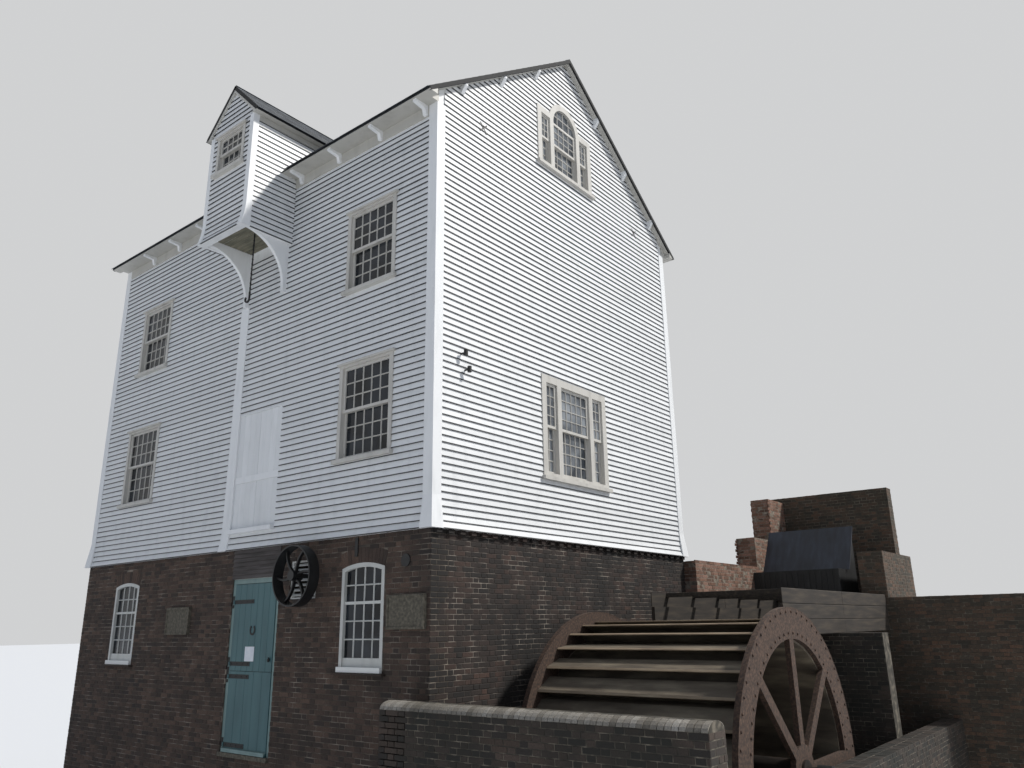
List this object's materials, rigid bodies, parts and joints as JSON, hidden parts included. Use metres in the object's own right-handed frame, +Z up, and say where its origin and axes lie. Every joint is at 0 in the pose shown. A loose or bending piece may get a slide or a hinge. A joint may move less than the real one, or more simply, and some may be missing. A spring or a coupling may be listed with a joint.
{
  "type": "watermill",
  "caption": "Weatherboarded watermill on a brick ground storey, with a hoist housing over the street, a wide water wheel in its brick pit and the sluice behind.",
  "frame": {"origin": "middle of the front wall's underside, level with the floor of the wheel pit", "axes": "+X to the right along the front, towards the wheel; +Y from the front to the back; +Z up"},
  "size_m": [16.03, 13.925, 14.8952],
  "materials": {
    "brick": "rough",
    "pale_stone": "rough",
    "slate": "matte",
    "white_boarding": "satin",
    "cream_joinery": "satin",
    "bare_timber": "matte",
    "teal_door": "satin",
    "black_boards": "matte",
    "window_glass": "polished",
    "black_iron": "painted",
    "wheel_iron": "rusted"
  },
  "bodies": {
    "building": {"front_wall_left": "brick", "front_wall_right": "brick", "door_footing": "brick", "back_brick_wall": "brick", "left_brick_wall": "brick", "wheel_side_brick_wall": "brick", "floors": "bare_timber", "front_boarding_left": "white_boarding", "front_boarding_right": "white_boarding", "front_boarding_middle": "white_boarding", "back_boarding": "white_boarding", "wheel_side_gable": "white_boarding", "left_gable": "white_boarding", "corner_boards": "white_boarding", "roof_front": "slate", "roof_back": "slate", "eaves_boxing": "white_boarding", "eaves_brackets": "white_boarding", "hoist_housing": "white_boarding", "hoist_roof": "slate", "hoist_brackets": "white_boarding", "window_frames": "cream_joinery", "window_sashes": "cream_joinery", "window_glass": "window_glass", "loading_doors": "white_boarding", "door_frame": "teal_door", "louvres": "cream_joinery", "ironwork": "black_iron", "stonework": "pale_stone", "pit_front_wall": "brick", "pit_outer_wall": "brick", "pit_back_wall": "brick", "launder": "bare_timber", "wing_wall": "brick", "head_wall": "brick", "right_pier": "brick", "sluice_walls": "brick", "sluice_boards": "black_boards", "sluice_cover": "slate"},
    "door_upper": {"stable_door_upper": "teal_door"},
    "door_lower": {"stable_door_lower": "teal_door"},
    "pulley": {"pulley": "black_iron"},
    "water_wheel": {"wheel_sides": "wheel_iron", "wheel_buckets": "bare_timber", "wheel_shaft": "wheel_iron"}
  },
  "joints": [
    {"name": "door_upper_hinge", "type": "hinge", "parent": "building", "child": "door_upper", "pos_m": [0.428, 0.001, 4], "axis": [0, 0, -1], "range_deg": [0, 110]},
    {"name": "door_lower_hinge", "type": "hinge", "parent": "building", "child": "door_lower", "pos_m": [0.428, 0.001, 2.75], "axis": [0, 0, -1], "range_deg": [0, 110]},
    {"name": "pulley_spin", "type": "hinge", "parent": "building", "child": "pulley", "pos_m": [2.36, -0.255, 4.725], "axis": [0, 1, 0], "continuous": true},
    {"name": "wheel_spin", "type": "hinge", "parent": "building", "child": "water_wheel", "pos_m": [6.945, 3.1, 2.15], "axis": [1, 0, 0], "continuous": true}
  ]
}
